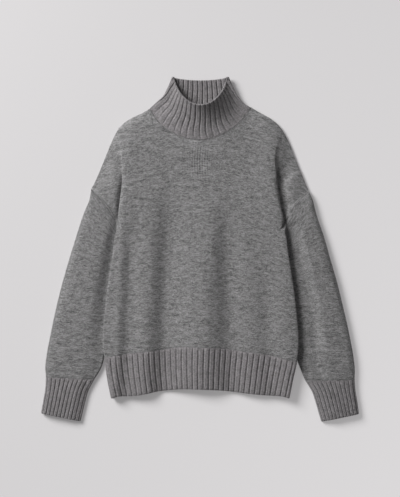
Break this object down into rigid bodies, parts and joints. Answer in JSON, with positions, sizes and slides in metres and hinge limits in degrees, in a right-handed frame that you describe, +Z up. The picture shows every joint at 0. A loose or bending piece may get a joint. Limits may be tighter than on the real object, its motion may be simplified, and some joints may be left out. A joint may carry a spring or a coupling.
{
  "type": "turtleneck sweater",
  "caption": "Loose heather-grey wool sweater laid flat, front up, with drop shoulders, full sleeves, a high ribbed neck, and ribbed cuffs and hem.",
  "frame": {"origin": "on the surface the sweater lies on, under the middle of its overall outline", "axes": "+X towards the wearer's left, +Y from the hem towards the neck, +Z up, out of the front"},
  "size_m": [0.716, 0.7756, 0.0553],
  "materials": {
    "grey_jersey": "brushed heather grey wool jersey, matt with a soft nap",
    "grey_rib": "heather grey wool knitted in wide ribs, matt"
  },
  "bodies": {
    "root": {"front": "grey_jersey", "back": "grey_jersey", "hem_front": "grey_rib", "hem_back": "grey_rib", "sleeve_right": "grey_jersey", "sleeve_left": "grey_jersey", "cuff_right": "grey_rib", "cuff_left": "grey_rib", "collar": "grey_rib"}
  },
  "joints": []
}
